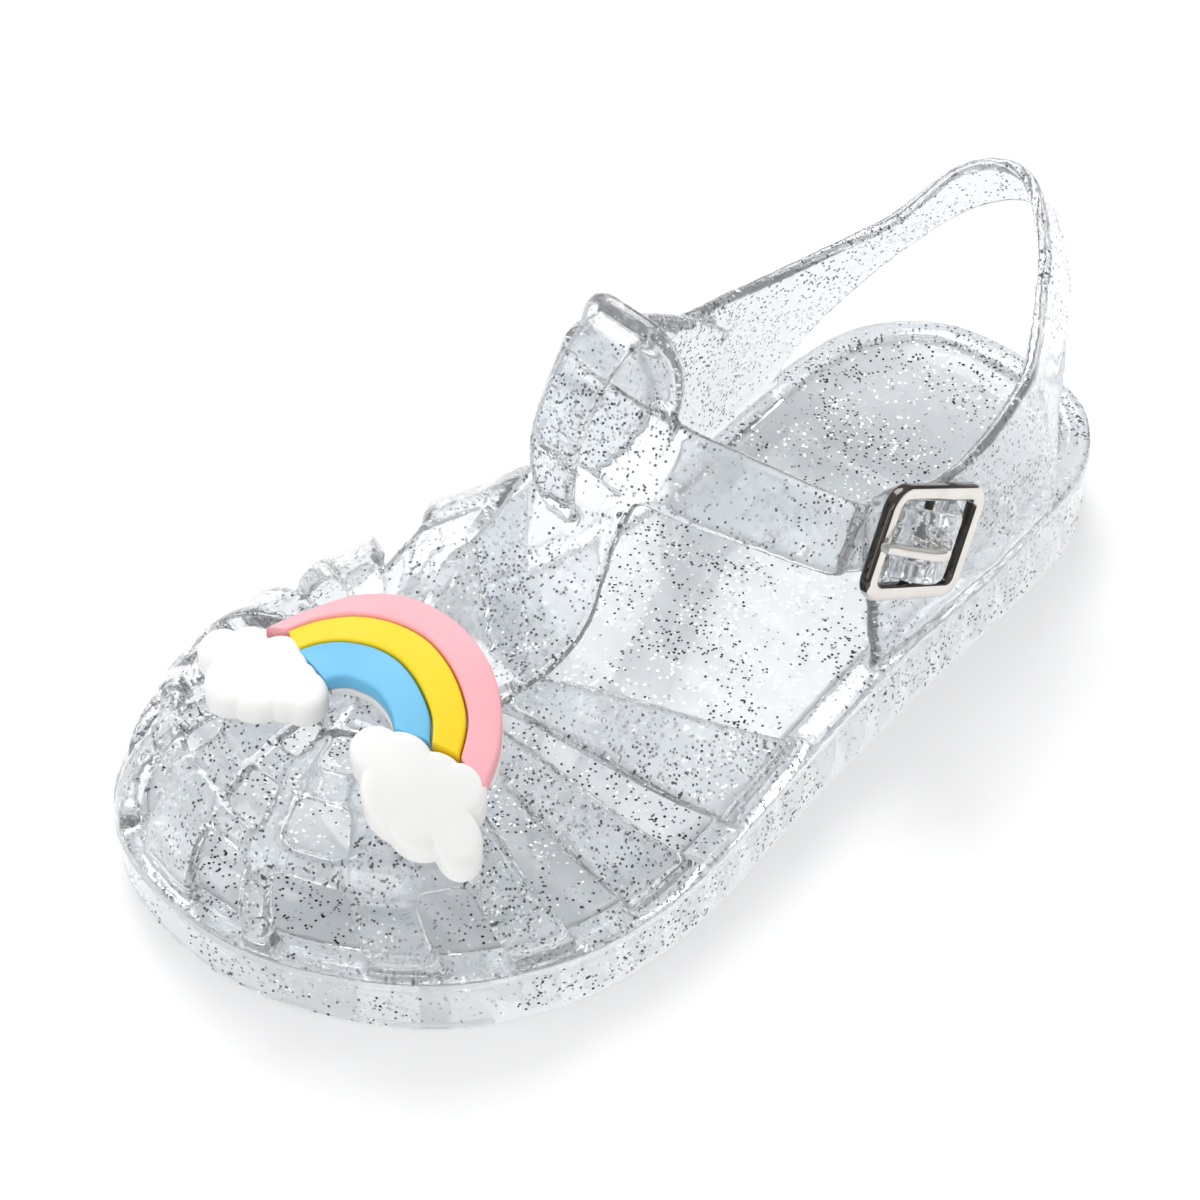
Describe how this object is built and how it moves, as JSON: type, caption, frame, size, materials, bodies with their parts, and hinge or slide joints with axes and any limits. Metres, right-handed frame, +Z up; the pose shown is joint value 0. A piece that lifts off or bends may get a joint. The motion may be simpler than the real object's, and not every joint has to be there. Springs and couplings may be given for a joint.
{
  "type": "child's jelly sandal",
  "caption": "Clear moulded child's T-bar sandal with a woven closed toe, an ankle strap with a metal buckle, and a soft rainbow ornament with clouds on the toe.",
  "frame": {"origin": "on the floor under the middle of the sandal's bounding box", "axes": "+Y from heel to toe, +X to the inner side of the foot, +Z up"},
  "size_m": [0.0726, 0.157, 0.0708],
  "materials": {
    "sole": "clear moulded with glitter flakes",
    "footbed": "clear, satin, with glitter flakes",
    "upper": "clear, glossy, with glitter flakes",
    "buckle": "polished nickel",
    "charm_white": "matte soft rubber",
    "charm_pink": "matte soft rubber",
    "charm_yellow": "matte soft rubber",
    "charm_blue": "matte soft rubber"
  },
  "bodies": {
    "root": {"outsole": "sole", "insole": "footbed", "upper": "upper", "buckle_frame": "buckle", "buckle_prong": "buckle", "charm_base": "charm_white", "charm_pink": "charm_pink", "charm_yellow": "charm_yellow", "charm_blue": "charm_blue", "charm_cloud_toe": "charm_white", "charm_cloud_side": "charm_white"}
  },
  "joints": []
}
